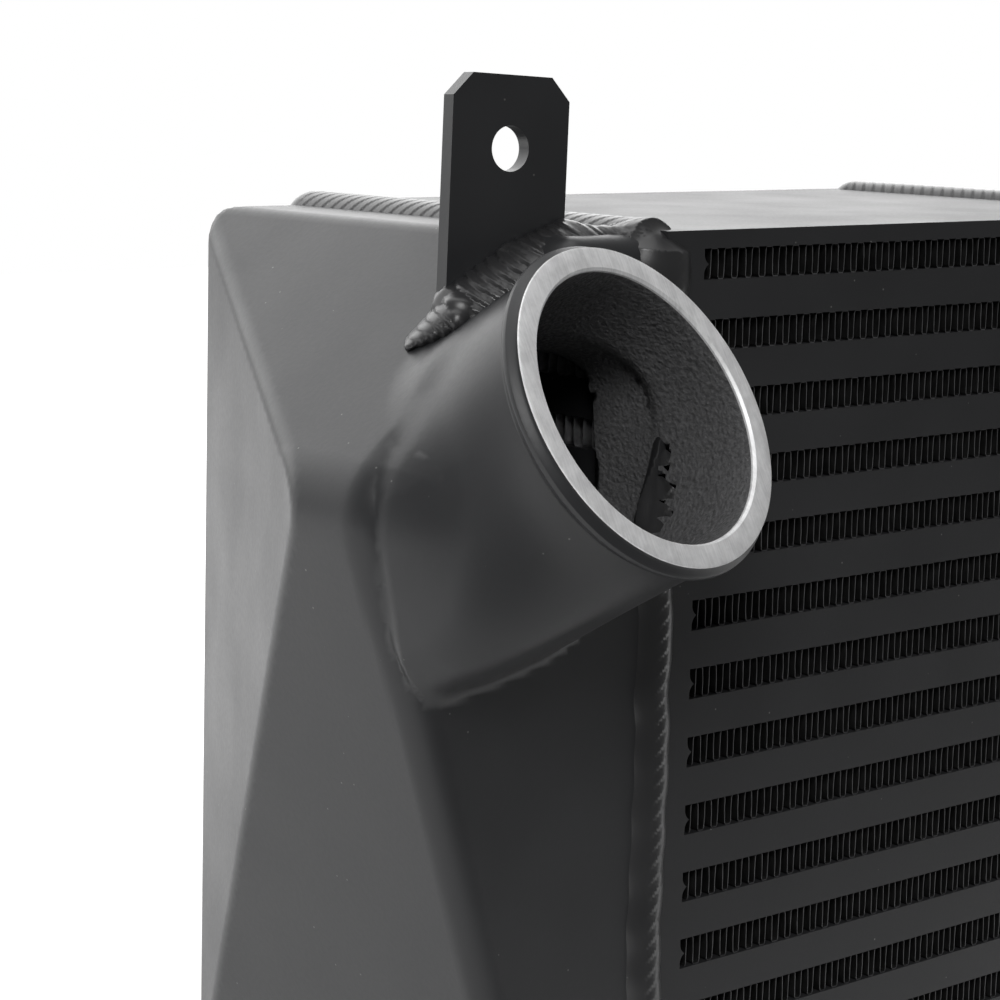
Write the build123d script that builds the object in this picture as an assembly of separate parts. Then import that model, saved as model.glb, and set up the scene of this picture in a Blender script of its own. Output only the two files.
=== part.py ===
from build123d import *
import math
import os

# Intercooler: a brazed bar-and-plate core between two cast aluminium end tanks, millimetres.
# +X runs along the charge air path, -Y faces the cooling air, +Z is up. The origin is the
# centre of the core's bottom face. The left tank is modelled and the right one is its mirror.

# Core stack
fin_height = 6.3            # height of a cooling fin strip and of its end bars
charge_bar_height = 6.4     # height of the bars that close a charge passage front and back
sheet = 0.8                 # parting sheet between a passage and a fin strip
side_plate = 3.7            # plate over the first and under the last fin strip
cooling_rows = 18
core_depth = 114.4
fin_length = 164.0          # cooling fin strip between the noses' roots of its end bars
end_bar_width = 10.7
charge_bar_width = 8.0

# Folded strips. Real strips fold about every 2 mm; here one fold stands for several.
fin_foil = 0.25
fin_fold = 11.7
fin_recess = 0.5            # strip edges sit this far behind the bars
turbulator_foil = 0.3
turbulator_fold = 14.0
turbulator_recess = 1.0
bar_gap = 0.1               # side gap between a turbulator and the charge bars
nose_length = 1.3           # V nose rolled along the fin side of each end bar
nose_base = 4.4
seat_overlap = 0.05         # first fold bites this far into the nose when brazed
cut_margin = 1.0            # cutting solids run this far past what they cut

# End tank casting
wall = 4.0
tank_step = 0.8             # tank top sits this far under the top of the core
top_land = 23.6             # flat top, from the core end to the rim
upper_slope = 41.5          # fall of the upper face from the rim, degrees
foot_land = 10.0            # flat foot, from the core end
back_reach = 27.2           # depth of the tank at the back face
nose_run = 19.8             # the nose runs this far behind the front face before the slanted flank
end_lip = 4.0               # depth of the lip round the tank's opening to the core
window_margin = 16.9        # lip's width at the front and the back, from the core's faces
window_top = 24.8           # and at the top, from the top of the core
window_corner = 9.0
rim_radius = 6.0
nose_radius = 16.0
back_radius = 6.0
flank_radius = 5.5
front_radius = 5.5
cavity_rim_radius = 5.0
cavity_nose_radius = 12.0
cavity_back_radius = 8.0

# Hose neck, cast with the tank and machined at its mouth
tube_radius = 32.0
tube_wall = 4.0
neck_overhang = 1.5         # the tube's inner side reaches this far past the core end
neck_cover = 12.0           # height of the core's top over the tube at the front face
neck_margin = 14.3          # from the tube's outer side to the tank's outermost point
neck_length = 27.4          # from the front face to the mouth, along the axis
neck_lift = 30.4            # axis above the horizontal, degrees
neck_toe = 6.67             # axis turned towards the core, degrees
root_radius = 5.0
root_depth = 31.0           # tube carries on this far behind the front face
bore_depth = 26.0           # bore carries on this far behind the front face
bead_rise = 2.2             # hose bead above the tube
bead_length = 3.6
bead_run_out = 5.8
mouth_chamfer = 1.1

# Mounting tab, cut from sheet and welded on the tank's shoulder
tab_width = 28.0
tab_thickness = 3.2
tab_length = 56.0           # before its foot is cut to the casting
tab_corner = 4.5
tab_hole = 8.9
tab_hole_drop = 14.2
tab_out = 26.7              # top centre from the core end
tab_back = 17.2             # front face behind the core's front
tab_above = 29.8            # top edge above the core
tab_yaw = -6.3
tab_lean = -1.9
tab_tilt = 2.6

# Weld beads
seam_half_width = 5.0
seam_rise = 2.2
corner_blob = 7.5           # radius of the blob where the seam turns over the front corner
tab_weld_start = 6.0        # radii of the tab weld at its outer end, its middle and its inner end
tab_weld_middle = 6.0
tab_weld_end = 4.5
tab_weld_before = 1.5       # the weld starts this far outside the tab
tab_weld_fall = 16.0        # and this far under the tank's top
tab_weld_shift = 3.0        # its middle stands this far inboard of the tab's middle
tab_weld_sink = 2.5         # and this far under the tank's top
tab_weld_front = 1.5        # and this far in front of the tab's front face
tab_weld_past = 9.5         # the weld ends this far inboard of the tab, under the seam bead
tab_weld_toe = 3.0          # and this far in front of its front face

# Worked out from the values above
charge_rows = cooling_rows - 1
passage_height = charge_bar_height + 2 * sheet
row_pitch = fin_height + passage_height
core_length = fin_length + 2 * end_bar_width
core_height = 2 * side_plate + cooling_rows * fin_height + charge_rows * passage_height
front_y = -core_depth / 2
back_y = core_depth / 2
left_x = -core_length / 2
tank_top = core_height - tank_step
bore_radius = tube_radius - tube_wall
neck_out = tube_radius - neck_overhang  # neck axis crosses the front face this far from the core end
neck_drop = tube_radius + neck_cover    # and this far under the core's top
reach = neck_out + tube_radius + neck_margin    # outermost point of the tank from the core end
flank_angle = math.degrees(math.atan((reach - back_reach) / (core_depth - nose_run)))
seam_radius = (seam_half_width ** 2 + seam_rise ** 2) / (2 * seam_rise)
seam_sink = seam_radius - seam_rise     # the seam bead's centre line lies this deep
fit_tolerance = 0.01        # points closer than this lie on the same face


def cooling_row_base(row):
    """Height of the underside of a cooling row; row 1 is the top one."""
    return core_height - side_plate - fin_height - (row - 1) * row_pitch


def folded_strip(folds, pitch, height, foil):
    """Cross-section of a square-folded strip, centred on X and standing on Y = 0."""
    start = -(folds - 1) * pitch / 2
    half = foil / 2
    upper = []
    lower = []
    for fold in range(folds):
        x = start + fold * pitch
        if fold % 2 == 0:
            upper += [(x - half, foil), (x - half, height)]
            lower += [(x + half, 0), (x + half, height - foil)]
        else:
            upper += [(x + half, height), (x + half, foil)]
            lower += [(x - half, height - foil), (x - half, 0)]
    upper[0] = (upper[0][0], 0)
    if folds % 2 == 0:
        upper[-1] = (upper[-1][0], 0)
    else:
        lower[-1] = (lower[-1][0], height)
    return make_face(Polyline(*upper, *reversed(lower), close=True))


def block(length, depth, height, base):
    """Box centred on X and Y with its underside at the given height."""
    return Pos(0, 0, base + height / 2) * Box(length, depth, height)


def side_plate_piece(base):
    return block(core_length, core_depth, side_plate, base)


def end_bar():
    """Left end bar of a cooling row: a flat bar with a V nose on its fin side."""
    tip_x = left_x + end_bar_width + nose_length
    nose_x = left_x + end_bar_width
    middle = fin_height / 2
    outline = Polyline(
        (left_x, 0), (nose_x, 0), (nose_x, middle - nose_base / 2), (tip_x, middle),
        (nose_x, middle + nose_base / 2), (nose_x, fin_height), (left_x, fin_height),
        close=True)
    return extrude(Plane.XZ.offset(-front_y) * make_face(outline), amount=core_depth, dir=(0, 1, 0))


def cooling_row(row):
    """One cooling fin strip, folded along X, with the end bars it is brazed between."""
    span = fin_length - 2 * (nose_length - seat_overlap) - fin_foil
    gaps = round(span / fin_fold)
    strip = folded_strip(gaps + 1, span / gaps, fin_height, fin_foil)
    strip_depth = core_depth - 2 * fin_recess
    fins = extrude(Plane.XZ.offset(strip_depth / 2) * strip, amount=strip_depth, dir=(0, 1, 0))
    bar = end_bar()
    return Pos(0, 0, cooling_row_base(row)) * (fins + bar + mirror(bar, about=Plane.YZ))


def charge_passage(row):
    """Two parting sheets and the two long bars between them, brazed into a flat duct."""
    base = cooling_row_base(row) - passage_height
    duct = block(core_length, core_depth, passage_height, base)
    inside_depth = core_depth - 2 * charge_bar_width
    through = core_length + 2 * cut_margin
    return duct - block(through, inside_depth, charge_bar_height, base + sheet)


def turbulator(row):
    """Folded strip inside a charge passage, its channels along X."""
    span = core_depth - 2 * charge_bar_width - 2 * bar_gap - turbulator_foil
    gaps = round(span / turbulator_fold)
    strip = folded_strip(gaps + 1, span / gaps, charge_bar_height, turbulator_foil)
    length = core_length - 2 * turbulator_recess
    strip_plane = Plane.YZ.offset(-length / 2)
    base = cooling_row_base(row) - passage_height + sheet
    return Pos(0, 0, base) * extrude(strip_plane * strip, amount=length, dir=(1, 0, 0))


def nearest_vertex(face, point):
    return min(face.vertices(), key=lambda v: (v.X - point[0]) ** 2 + (v.Y - point[1]) ** 2)


def inset_outline(points, inset):
    """Corners of a polygon, listed counterclockwise, moved in from every side."""
    corners = [Vector(*point) for point in points]
    moved = []
    for before, corner, after in zip(corners[-1:] + corners, corners, corners[1:] + corners[:1]):
        normals = [run.normalized().rotate(Axis.Z, 90) for run in (corner - before, after - corner)]
        shift = (normals[0] + normals[1]) * (inset / (1 + normals[0].dot(normals[1])))
        moved.append(((corner + shift).X, (corner + shift).Y))
    return moved


def tank_solid(inset, rim, nose, back):
    """Tank form drawn past the core end: a side profile cut by the slanted flank's plan."""
    inner_x = left_x + reach
    shoulder_x = left_x - top_land
    nose_x = left_x - reach
    nose_z = tank_top - (reach - top_land) * math.tan(math.radians(upper_slope))
    foot_x = left_x - foot_land
    side = [(inner_x, tank_top), (shoulder_x, tank_top), (nose_x, nose_z), (foot_x, 0), (inner_x, 0)]
    far_x = nose_x - back_reach
    far_y = back_y - (left_x - back_reach - far_x) / math.tan(math.radians(flank_angle))
    outline = [(inner_x, back_y), (left_x - back_reach, back_y), (far_x, far_y),
               (far_x, front_y), (inner_x, front_y)]
    side = inset_outline(side, inset)
    outline = inset_outline(outline, inset)
    profile = make_face(Polyline(*side, close=True))
    profile = fillet(nearest_vertex(profile, side[1]), rim)
    profile = fillet(nearest_vertex(profile, side[2]), nose)
    plan = make_face(Polyline(*outline, close=True))
    plan = fillet(nearest_vertex(plan, outline[1]), back)
    slab = extrude(Plane.XZ.offset(-front_y) * profile, amount=core_depth, dir=(0, 1, 0))
    return (slab & extrude(plan, amount=core_height)).solids()[0]


def tank_form():
    """Outside of the tank with its rounded flank and front."""
    form = tank_solid(0, rim_radius, nose_radius, back_radius)
    end_x = left_x + reach
    form = form.fillet(flank_radius, flank_edges(form, front_y, end_x, 0))
    return form.fillet(front_radius, front_edges(form, front_y, end_x, 0))


def lies_on(edge, axis, value):
    return all(abs(getattr(v, axis) - value) < fit_tolerance for v in edge.vertices())


def front_edges(form, face_y, end_x, foot_z):
    """Outline of the front face, without its foot and its core end."""
    return [e for e in form.edges() if lies_on(e, "Y", face_y)
            and not lies_on(e, "X", end_x) and not lies_on(e, "Z", foot_z)]


def flank_edges(form, face_y, end_x, foot_z):
    """The run of edges where the side profile meets the back and the flank."""
    run = []
    for edge in form.edges():
        if lies_on(edge, "Y", face_y) or lies_on(edge, "X", end_x) or lies_on(edge, "Z", foot_z):
            continue
        direction = ((edge @ 1) - (edge @ 0)).normalized()
        straight = edge.geom_type == GeomType.LINE
        if straight and max(abs(direction.Y), abs(direction.Z)) > 1 - 1e-6:
            continue
        run.append(edge)
    return run


def neck_axis():
    lift = math.radians(neck_lift)
    toe = math.radians(neck_toe)
    return Vector(math.cos(lift) * math.sin(toe), -math.cos(lift) * math.cos(toe), math.sin(lift))


def neck_mouth():
    root = Vector(left_x - neck_out, front_y, core_height - neck_drop)
    return root + neck_axis() * neck_length


def neck_frame():
    """Plane at the mouth, with Z pointing down the neck into the tank."""
    axis = neck_axis()
    return Plane(origin=neck_mouth(), x_dir=axis.cross(Vector(1, 0, 0)), z_dir=-axis)


def neck_tube(depth):
    """Solid neck with its hose bead, turned about the neck axis."""
    bead_radius = tube_radius + bead_rise
    end = neck_length + depth
    outline = Polyline(
        (0, 0), (bead_radius - mouth_chamfer, 0), (bead_radius, mouth_chamfer),
        (bead_radius, bead_length), (tube_radius, bead_run_out), (tube_radius, end), (0, end),
        close=True)
    return neck_frame() * revolve(Plane.XZ * make_face(outline), Axis.Z)


def neck_bore():
    length = neck_length + bore_depth + cut_margin
    return neck_frame() * (Pos(0, 0, length / 2 - cut_margin) * Cylinder(bore_radius, length))


def root_edges(form):
    """Edges where the plain tube enters the casting, told by points along each of them."""
    samples = (0.01, 0.25, 0.5, 0.75, 0.99)
    mouth = neck_mouth()
    axis = neck_axis()
    found = []
    for edge in form.edges():
        if edge.geom_type == GeomType.LINE:
            continue
        arms = [(edge @ t) - mouth for t in samples]
        depths = [-arm.dot(axis) for arm in arms]
        off_tube = [abs((arm + axis * depth).length - tube_radius) for arm, depth in zip(arms, depths)]
        if max(off_tube) < fit_tolerance and min(depths) > bead_run_out + bead_rise:
            found.append(edge)
    return found


def beyond_core_end():
    """Space inboard of the core's end, save where the neck leans over the core's front."""
    width = 2 * reach
    far = 4 * core_depth
    beyond = Pos(left_x + width / 2, 0, core_height / 2) * Box(width, far, 2 * core_height)
    behind_front = Pos(left_x + width / 2, front_y + far / 2, core_height / 2) \
        * Box(width, far, 2 * core_height)
    return beyond - (neck_tube(root_depth) - behind_front)


def cast_body():
    """Outside of the casting as one solid: tank, neck and the fillet round the neck's root."""
    body = (tank_form() + neck_tube(root_depth)).solids()[0]
    body = body.fillet(root_radius, root_edges(body))
    return (body - beyond_core_end()).solids().sort_by(SortBy.VOLUME)[-1]


def core_window():
    """Rounded opening through the lip at the core end."""
    low = wall
    high = core_height - window_top
    outline = RectangleRounded(core_depth - 2 * window_margin, high - low, window_corner)
    opening = extrude(Plane.YZ.offset(left_x - end_lip) * outline, amount=end_lip, dir=(1, 0, 0))
    return Pos(0, 0, (low + high) / 2) * opening


def end_tank(body):
    """Left end tank: the casting with its plenum, its window to the core and its bored neck."""
    plenum = tank_solid(wall, cavity_rim_radius, cavity_nose_radius, cavity_back_radius)
    plenum -= Pos(left_x - end_lip + reach, 0, core_height / 2) \
        * Box(2 * reach, 2 * core_depth, 2 * core_height)
    return body - plenum - core_window() - neck_bore()


def mounting_tab(body):
    """Left tab: a flat plate with two cut corners and one hole, its foot cut to the casting."""
    half = tab_width / 2
    outline = Polyline(
        (-half, -tab_length), (-half, -tab_corner), (-half + tab_corner, 0),
        (half - tab_corner, 0), (half, -tab_corner), (half, -tab_length), close=True)
    plate = extrude(Plane.XZ * make_face(outline), amount=tab_thickness, dir=(0, 1, 0))
    hole = Pos(0, tab_thickness / 2, -tab_hole_drop) * Rot(90, 0, 0) \
        * Cylinder(tab_hole / 2, tab_thickness + 2 * cut_margin)
    place = Pos(left_x - tab_out, front_y + tab_back, core_height + tab_above) \
        * Rot(0, 0, tab_yaw) * Rot(tab_lean, 0, 0) * Rot(0, tab_tilt, 0)
    return (place * (plate - hole) - body).solids().sort_by(Axis.Z)[-1]


def weld_run(stops):
    """Eight-sided run of weld through (point, radius) stops."""
    points = [point for point, _ in stops]
    ahead = points[1:] + [2 * points[-1] - points[-2]]
    behind = [2 * points[0] - points[1]] + points[:-1]
    sections = [
        Plane(origin=point, x_dir=(0, 0, 1), z_dir=after - before) * RegularPolygon(radius, 8)
        for (point, radius), after, before in zip(stops, ahead, behind)]
    return loft(sections, ruled=True)


def seam_bead():
    """Round-backed bead over the front, top and back of the joint between tank and core."""
    front = front_y + seam_sink
    back = back_y - seam_sink
    top = core_height - seam_sink
    upright = Cylinder(seam_radius, top)
    level = Rot(90, 0, 0) * Cylinder(seam_radius, back - front)
    turn = Cylinder(seam_radius, 2 * seam_radius)
    bead = Pos(left_x, front, top / 2) * upright + Pos(left_x, back, top / 2) * upright
    bead += Pos(left_x, 0, top) * level
    bead += Pos(left_x, back, top) * (turn & Rot(90, 0, 0) * turn)
    return bead + Pos(left_x, front, top) * Sphere(corner_blob)


def weld_beads(body, tab):
    """Left tank's seam bead and its front corner's blob, with the tab's fillet weld."""
    foot = Vector(left_x - tab_out, front_y + tab_back, tank_top)
    half = tab_width / 2
    tab_weld = weld_run([
        (foot + Vector(-half - tab_weld_before, 0, -tab_weld_fall), tab_weld_start),
        (foot + Vector(tab_weld_shift, -tab_weld_front, -tab_weld_sink), tab_weld_middle),
        (foot + Vector(half + tab_weld_past, -tab_weld_toe, 0), tab_weld_end)])
    core = block(core_length, core_depth, core_height, 0)
    bead = seam_bead() + tab_weld - core - body - tab
    return bead.solids().sort_by(SortBy.VOLUME)[-1]


def save(name, shape):
    shape.label = name
    export_step(shape, os.path.join("parts", name + ".step"))


def save_pair(name, shape):
    save("left_" + name, shape)
    save("right_" + name, mirror(shape, about=Plane.YZ))


def main():
    os.makedirs("parts", exist_ok=True)
    save("bottom_side_plate", side_plate_piece(0))
    save("top_side_plate", side_plate_piece(core_height - side_plate))
    for row in range(1, cooling_rows + 1):
        save(f"cooling_fin_row_{row:02d}", cooling_row(row))
    for row in range(1, charge_rows + 1):
        save(f"charge_passage_{row:02d}", charge_passage(row))
        save(f"turbulator_{row:02d}", turbulator(row))
    body = cast_body()
    tab = mounting_tab(body)
    save_pair("end_tank", end_tank(body))
    save_pair("mounting_tab", tab)
    save_pair("weld", weld_beads(body, tab))


if __name__ == "__main__":
    main()
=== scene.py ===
"""Finish and fine detail of a bar-and-plate intercooler with two cast end tanks, in metres."""
import math

import bpy
import numpy as np
from mathutils import Matrix, Vector


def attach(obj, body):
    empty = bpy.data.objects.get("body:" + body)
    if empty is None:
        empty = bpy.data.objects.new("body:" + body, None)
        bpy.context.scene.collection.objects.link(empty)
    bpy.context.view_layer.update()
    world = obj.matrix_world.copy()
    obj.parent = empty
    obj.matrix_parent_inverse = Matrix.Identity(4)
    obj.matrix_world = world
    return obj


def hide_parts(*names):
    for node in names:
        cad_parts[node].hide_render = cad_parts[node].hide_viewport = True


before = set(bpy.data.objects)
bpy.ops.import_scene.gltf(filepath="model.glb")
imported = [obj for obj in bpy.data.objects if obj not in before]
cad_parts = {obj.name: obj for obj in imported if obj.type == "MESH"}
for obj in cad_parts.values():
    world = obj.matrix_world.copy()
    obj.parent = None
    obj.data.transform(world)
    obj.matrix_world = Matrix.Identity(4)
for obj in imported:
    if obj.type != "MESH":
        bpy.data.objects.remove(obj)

bl_info = {
    "name": "Intercooler",
    "version": (1, 0, 0),
    "blender": (4, 5, 0),
    "location": "View3D > Sidebar > Intercooler",
    "description": "Builds the fins, cast tanks, hose necks, tabs and welds of an intercooler",
    "category": "Object",
}

BODY = "root"
SIDES = (("left", 1.0), ("right", -1.0))
FIN_WOBBLE, FIN_LEAN, FIN_SEED = 0.00009, 0.00008, 40
TURBULATOR_FOIL, TURBULATOR_WOBBLE, TURBULATOR_SEED = 0.0003, 0.00008, 80
LIGHTS = (  # name, place, aim, size, watts
    ("back_wall", (1.2, 2.0, 1.35), (1.2, 0.0, 1.35), (5.0, 1.9), 56.0),
    ("overhead", (-0.1, 0.1, 1.6), (-0.1, 0.0, 0.2), (1.2, 1.2), 7.0),
    ("front_left", (-0.9, -0.9, 1.2), (-0.1, -0.06, 0.2), (0.6, 0.6), 13.0))


# Sizes and colours

def length(name, description, default):
    return bpy.props.FloatProperty(name=name, description=description, default=default,
                                   subtype="DISTANCE", unit="LENGTH", precision=5)


def angle(name, description, degrees):
    return bpy.props.FloatProperty(name=name, description=description,
                                   default=math.radians(degrees), subtype="ANGLE", unit="ROTATION")


def colour(name, description, default):
    return bpy.props.FloatVectorProperty(name=name, description=description, default=default,
                                         size=3, min=0.0, max=1.0, subtype="COLOR")


def factor(name, description, default):
    return bpy.props.FloatProperty(name=name, description=description, default=default,
                                   min=0.0, max=1.0, subtype="FACTOR")


class CoreSizes(bpy.types.PropertyGroup):
    """Bars, sheets and folded strips of the brazed core"""
    cooling_rows: bpy.props.IntProperty(name="Cooling rows", description="Rows of cooling fins",
                                        default=18)
    depth: length("Depth", "Depth of the core", 0.1144)
    fin_height: length("Fin height", "Height of a cooling row", 0.0063)
    bar_height: length("Charge bar height", "Height of the bars that close a passage", 0.0064)
    bar_width: length("Charge bar width", "Width of those bars", 0.008)
    sheet: length("Sheet", "Thickness of a parting sheet", 0.0008)
    side_plate: length("Side plate", "Thickness of the top and bottom plates", 0.0037)
    fin_length: length("Fin length", "Between the end bars", 0.164)
    end_bar: length("End bar", "Width of the bar at each end of a cooling row", 0.0107)
    nose: length("Bar nose", "How far the rolled nose of an end bar stands out", 0.0013)
    nose_base: length("Nose base", "Height of the nose where it leaves the bar", 0.0044)
    fin_pitch: length("Fin pitch", "Distance from one fin wall to the next", 0.00205)
    fin_foil: length("Fin foil", "Thickness of the fin strip", 0.0002)
    fin_recess: length("Fin recess", "How far the strip's edges sit behind the bars", 0.0005)
    fin_wander: length("Fin wander", "Side to side sweep of the fin walls through the core", 0.0011)
    turbulator_pitch: length("Turbulator pitch", "Between walls inside a passage", 0.0027)
    turbulator_recess: length("Turbulator recess", "Behind the ends of the core", 0.001)


class TankSizes(bpy.types.PropertyGroup):
    """Outside and inside of the cast end tanks"""
    wall: length("Wall", "Wall thickness of the casting", 0.004)
    step: length("Step", "How far the tank's top sits under the core's", 0.0008)
    top_land: length("Top land", "Flat top, from the core end to the rim", 0.0236)
    upper_slope: angle("Upper slope", "Fall of the upper face", 41.5)
    foot_land: length("Foot land", "Flat foot, from the core end", 0.010)
    back_reach: length("Back reach", "Depth of the tank at its back face", 0.0272)
    nose_run: length("Nose run", "From the front face to the slanted flank", 0.0198)
    rim_radius: length("Rim radius", "Between the top and the upper face", 0.006)
    nose_radius: length("Nose radius", "Between the upper and the lower face", 0.016)
    back_radius: length("Back radius", "Between the back face and the flank", 0.006)
    flank_radius: length("Flank radius", "Along the flank's edges", 0.0055)
    front_radius: length("Front radius", "Round the front face", 0.0055)
    fillet_start: length("Fillet start", "From the core end to where the front fillet grows", 0.035)
    fillet_growth: length("Fillet growth", "Growth of the front fillet beside the neck", 0.0045)
    lip: length("Lip", "Depth of the lip round the opening to the core", 0.004)
    window_margin: length("Window margin", "Lip width at the front and the back", 0.0169)
    window_top: length("Window top", "From the core's top down to the opening", 0.0248)
    window_corner: length("Window corner", "Corner radius of the opening", 0.009)
    cell: length("Mesh cell", "Grid size the casting is meshed on", 0.0016)


class NeckSizes(bpy.types.PropertyGroup):
    """Hose necks, bored and faced at their mouths"""
    tube_radius: length("Tube radius", "Outside radius of the neck", 0.032)
    tube_wall: length("Tube wall", "Wall thickness of the neck", 0.004)
    overhang: length("Overhang", "How far the tube's inner side passes the core end", 0.0015)
    cover: length("Cover", "Height of the core's top over the tube", 0.012)
    margin: length("Margin", "From the tube to the tank's outermost point", 0.0143)
    neck_length: length("Neck length", "From the front face to the mouth", 0.0274)
    lift: angle("Lift", "Neck axis above the horizontal", 30.4)
    toe: angle("Toe", "Neck axis turned towards the core", 6.67)
    root_radius: length("Root radius", "Fillet under the neck, on the front face", 0.0026)
    root_sweep: length("Root sweep", "Wide blend on the neck's outer side", 0.018)
    corner_out: length("Corner out", "Outward growth of the neck's lower side at its root", 0.0095)
    corner_drop: length("Corner drop", "Downward growth of the neck at its root", 0.0028)
    corner_radius: length("Corner radius", "Lower outer corner of the neck at its root", 0.009)
    root_depth: length("Root depth", "How far the tube carries on in the tank", 0.031)
    bore_depth: length("Bore depth", "How far the bore carries on in the tank", 0.026)
    bead_rise: length("Bead rise", "Height of the hose bead", 0.0022)
    face_edge: length("Face edge", "Outer radius of the machined ring", 0.0329)


class TabSizes(bpy.types.PropertyGroup):
    """Sheet tabs welded on the tanks"""
    edge_radius: length("Edge radius", "Rounding left by deburring and coating", 0.0006)
    width: length("Width", "Width of the tab", 0.028)
    out: length("Out", "Top centre of the tab from the core end", 0.0267)
    back: length("Back", "Front face behind the core's front", 0.0172)


class WeldSizes(bpy.types.PropertyGroup):
    """Weld beads"""
    half_width: length("Half width", "Half the width of a seam bead", 0.005)
    rise: length("Rise", "Height of a seam bead", 0.0022)
    blob: length("Blob", "Radius of the blob at the front corner", 0.0075)
    seam_pitch: length("Seam ripple pitch", "Between ripples of the seam bead", 0.0033)
    seam_ripple: length("Seam ripple", "Height of those ripples", 0.00028)
    tab_pitch: length("Tab ripple pitch", "Between the steps of the tab weld", 0.0026)
    tab_ripple: length("Tab ripple", "Height of those steps", 0.0005)
    cell: length("Mesh cell", "Grid size the beads are meshed on", 0.0006)


class Finishes(bpy.types.PropertyGroup):
    """Colours and gloss"""
    tank_coat: colour("Tank coat", "Satin black powder coat of the castings",
                      (0.021, 0.0215, 0.023))
    core_coat: colour("Core coat", "Black coat of the core", (0.0215, 0.0218, 0.0232))
    weld_coat: colour("Weld coat", "Coat over the welds", (0.020, 0.020, 0.021))
    cast_black: colour("Cast black", "Coated sand-cast inside", (0.105, 0.105, 0.107))
    # Far darker than the core coat: painted shade for the dark gaps between the fin walls.
    fin_wall_painted_shade: colour("Fin wall painted shade", "Fin walls inside the core", (0.006, 0.006, 0.006))
    fin_edge: colour("Fin edge", "Cut edges of the fin strip", (0.075, 0.075, 0.078))
    bare_metal: colour("Bare metal", "Machined aluminium", (0.80, 0.80, 0.805))
    tank_roughness: factor("Tank roughness", "Roughness of the powder coat", 0.42)
    core_roughness: factor("Core roughness", "Roughness of the core's coat", 0.44)
    weld_roughness: factor("Weld roughness", "Roughness over the welds", 0.33)


class StageSettings(bpy.types.PropertyGroup):
    """Floor, light and camera"""
    floor_colour: colour("Floor colour", "Plain pale floor", (0.82, 0.82, 0.82))
    front_dim: factor("Front dim", "Brightness of the room in front against that behind", 0.2)
    camera_place: bpy.props.FloatVectorProperty(
        name="Camera place", description="Where the camera stands", size=3,
        default=(-0.50826, -0.45808, 0.29156), subtype="TRANSLATION", unit="LENGTH")
    focal_length: bpy.props.FloatProperty(
        name="Focal length", description="Lens in millimetres on a 36 mm sensor", default=105.09)


class IntercoolerSettings(bpy.types.PropertyGroup):
    """Everything that can be changed"""
    core: bpy.props.PointerProperty(type=CoreSizes)
    tank: bpy.props.PointerProperty(type=TankSizes)
    neck: bpy.props.PointerProperty(type=NeckSizes)
    tab: bpy.props.PointerProperty(type=TabSizes)
    weld: bpy.props.PointerProperty(type=WeldSizes)
    finish: bpy.props.PointerProperty(type=Finishes)
    stage: bpy.props.PointerProperty(type=StageSettings)


def settings(context):
    return context.scene.intercooler


# Places worked out from the sizes

def core_plan(core):
    """Length, height and row spacing of the core."""
    pitch = core.fin_height + core.bar_height + 2 * core.sheet
    high = 2 * core.side_plate + core.cooling_rows * pitch - core.bar_height - 2 * core.sheet
    return core.fin_length + 2 * core.end_bar, high, pitch


def cooling_row_base(core, row):
    _, high, pitch = core_plan(core)
    return high - core.side_plate - core.fin_height - (row - 1) * pitch


def neck_axis(neck):
    return np.array([math.cos(neck.lift) * math.sin(neck.toe),
                     -math.cos(neck.lift) * math.cos(neck.toe), math.sin(neck.lift)])


def neck_mouth(core, neck):
    long, high, _ = core_plan(core)
    root = np.array([-long / 2 - (neck.tube_radius - neck.overhang), -core.depth / 2,
                     high - neck.tube_radius - neck.cover])
    return root + neck_axis(neck) * neck.neck_length


# Meshes

def new_piece(name, points, faces, materials, replaced=(), face_materials=None, normals=None,
              smooth=True):
    mesh = bpy.data.meshes.new(name)
    mesh.from_pydata(np.asarray(points).tolist(), [], np.asarray(faces).tolist()
                     if isinstance(faces, np.ndarray) else faces)
    for material in materials:
        mesh.materials.append(material)
    if face_materials is not None:
        mesh.polygons.foreach_set("material_index", np.asarray(face_materials, dtype=np.int32))
    mesh.polygons.foreach_set("use_smooth", np.full(len(mesh.polygons), smooth))
    mesh.update()
    if mesh.validate():
        raise RuntimeError(f"{name} has a broken mesh")
    if normals is not None:
        mesh.normals_split_custom_set_from_vertices(np.asarray(normals).tolist())
    piece = bpy.data.objects.new(name, mesh)
    bpy.context.scene.collection.objects.link(piece)
    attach(piece, BODY)
    if replaced:
        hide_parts(*replaced)
    return piece


def mirrored(points, faces, side):
    """Points and faces of a left piece, or of its mirror image for side -1."""
    if side > 0:
        return points, faces
    flipped = points * np.array([-1.0, 1.0, 1.0])
    if isinstance(faces, np.ndarray):
        return flipped, faces[:, ::-1]
    return flipped, [tuple(reversed(face)) for face in faces]


def eased(share):
    """0 to 1 with a soft start and a soft end."""
    share = np.clip(share, 0, 1)
    return share * share * (3 - 2 * share)


def overlap(a, b, radius):
    """Signed distance to what two forms share, with the edge between them rounded."""
    round_part = np.hypot(np.maximum(a + radius, 0), np.maximum(b + radius, 0)) - radius
    return np.minimum(np.maximum(a, b), -radius) * (round_part <= -radius) \
        + round_part * (round_part > -radius)


def joined(a, b, radius):
    """Signed distance to two forms together, with the corner between them filled."""
    return -overlap(-a, -b, radius)


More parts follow.
